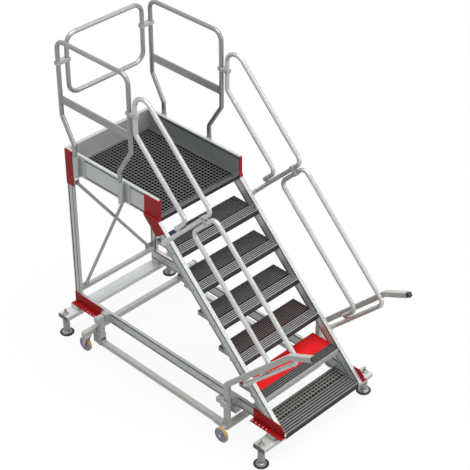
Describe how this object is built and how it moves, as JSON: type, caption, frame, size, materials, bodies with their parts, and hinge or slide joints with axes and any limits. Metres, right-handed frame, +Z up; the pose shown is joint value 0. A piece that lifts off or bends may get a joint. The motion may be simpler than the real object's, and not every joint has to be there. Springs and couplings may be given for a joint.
{
  "type": "mobile platform stair",
  "caption": "Rolling access stair with grating treads, guarded platform, bent tube handrails, screw feet and a lever-worked castor carriage",
  "frame": {"origin": "on the floor under the middle of the whole stair", "axes": "+X to the climber's right, +Y from the stair foot to the back of the platform, +Z up"},
  "size_m": [1.24, 2.5802, 2.553],
  "materials": {
    "aluminium": "satin extruded profile",
    "tube": "satin drawn tube",
    "grating": "dark ribbed grating",
    "red_plate": "satin bright red",
    "red_paint": "satin deep red",
    "clamp": "dark matt",
    "steel": "zinc plated",
    "black_plastic": "matt",
    "wheel": "hard tyre on a grey hub",
    "foot": "dull zinc"
  },
  "bodies": {
    "stair": {"platform_beam_left": "aluminium", "platform_beam_right": "aluminium", "toe_board_rear": "aluminium", "platform_deck": "grating", "tread_1": "grating", "tread_2": "grating", "tread_3": "grating", "tread_4": "grating", "tread_5": "grating", "tread_6": "grating", "tread_plate": "red_plate", "stringer_left": "aluminium", "stringer_right": "aluminium", "base_rail_left": "aluminium", "base_rail_right": "aluminium", "upright_left": "aluminium", "upright_right": "aluminium", "cross_members": "aluminium", "braces": "steel", "outrigger_front": "aluminium", "outrigger_rear": "aluminium", "foot_sleeves": "steel", "base_brackets": "red_paint", "deck_brackets": "red_paint", "guard_sockets": "aluminium", "side_guard_left": "tube", "side_guard_right": "tube", "rear_guard": "tube", "handrail_upper_left": "tube", "handrail_upper_right": "tube", "handrail_lower_left": "tube", "handrail_lower_right": "tube", "rail_clamps": "clamp", "pivot_brackets": "aluminium"},
    "levers": {"lever_frame": "steel", "lever_grips": "black_plastic"},
    "castor_carriage": {"carriage": "steel"},
    "left_rocker": {"rocker_left": "steel"},
    "right_rocker": {"rocker_right": "steel"},
    "left_castor": {"castor_fork_left": "steel"},
    "right_castor": {"castor_fork_right": "steel"},
    "front_left_wheel": {"wheel_front_left": "wheel"},
    "front_right_wheel": {"wheel_front_right": "wheel"},
    "rear_left_wheel": {"wheel_rear_left": "wheel"},
    "rear_right_wheel": {"wheel_rear_right": "wheel"},
    "front_left_foot": {"foot_front_left": "foot"},
    "front_right_foot": {"foot_front_right": "foot"},
    "rear_left_foot": {"foot_rear_left": "foot"},
    "rear_right_foot": {"foot_rear_right": "foot"}
  },
  "joints": [
    {"name": "lever_swing", "type": "hinge", "parent": "stair", "child": "levers", "pos_m": [0, -0.4739, 0.29], "axis": [1, 0, 0], "range_deg": [0, 20]},
    {"name": "carriage_swing", "type": "hinge", "parent": "levers", "child": "castor_carriage", "pos_m": [0, -0.4739, 0.063], "axis": [1, 0, 0], "range_deg": [-20, 0]},
    {"name": "left_rocker_swing", "type": "hinge", "parent": "stair", "child": "left_rocker", "pos_m": [-0.485, 0.8911, 0.29], "axis": [1, 0, 0], "range_deg": [0, 20]},
    {"name": "right_rocker_swing", "type": "hinge", "parent": "stair", "child": "right_rocker", "pos_m": [0.485, 0.8911, 0.29], "axis": [1, 0, 0], "range_deg": [0, 20]},
    {"name": "front_left_wheel_spin", "type": "hinge", "parent": "castor_carriage", "child": "front_left_wheel", "pos_m": [-0.581, -0.5109, 0.063], "axis": [1, 0, 0], "continuous": true},
    {"name": "left_castor_swivel", "type": "hinge", "parent": "castor_carriage", "child": "left_castor", "pos_m": [-0.588, 0.9461, 0.14], "axis": [0, 0, 1], "continuous": true},
    {"name": "rear_left_wheel_spin", "type": "hinge", "parent": "left_castor", "child": "rear_left_wheel", "pos_m": [-0.588, 0.9621, 0.063], "axis": [1, 0, 0], "continuous": true},
    {"name": "front_right_wheel_spin", "type": "hinge", "parent": "castor_carriage", "child": "front_right_wheel", "pos_m": [0.581, -0.5109, 0.063], "axis": [1, 0, 0], "continuous": true},
    {"name": "right_castor_swivel", "type": "hinge", "parent": "castor_carriage", "child": "right_castor", "pos_m": [0.588, 0.9461, 0.14], "axis": [0, 0, 1], "continuous": true},
    {"name": "rear_right_wheel_spin", "type": "hinge", "parent": "right_castor", "child": "rear_right_wheel", "pos_m": [0.588, 0.9621, 0.063], "axis": [1, 0, 0], "continuous": true},
    {"name": "front_left_foot_screw", "type": "slide", "parent": "stair", "child": "front_left_foot", "axis": [0, 0, 1], "range_m": [-0.04, 0.024]},
    {"name": "rear_left_foot_screw", "type": "slide", "parent": "stair", "child": "rear_left_foot", "axis": [0, 0, 1], "range_m": [-0.04, 0.024]},
    {"name": "front_right_foot_screw", "type": "slide", "parent": "stair", "child": "front_right_foot", "axis": [0, 0, 1], "range_m": [-0.04, 0.024]},
    {"name": "rear_right_foot_screw", "type": "slide", "parent": "stair", "child": "rear_right_foot", "axis": [0, 0, 1], "range_m": [-0.04, 0.024]}
  ],
  "couplings": [
    {"joint": "carriage_swing", "follows": "lever_swing", "ratio": -1},
    {"joint": "left_rocker_swing", "follows": "lever_swing", "ratio": 1},
    {"joint": "right_rocker_swing", "follows": "lever_swing", "ratio": 1}
  ]
}
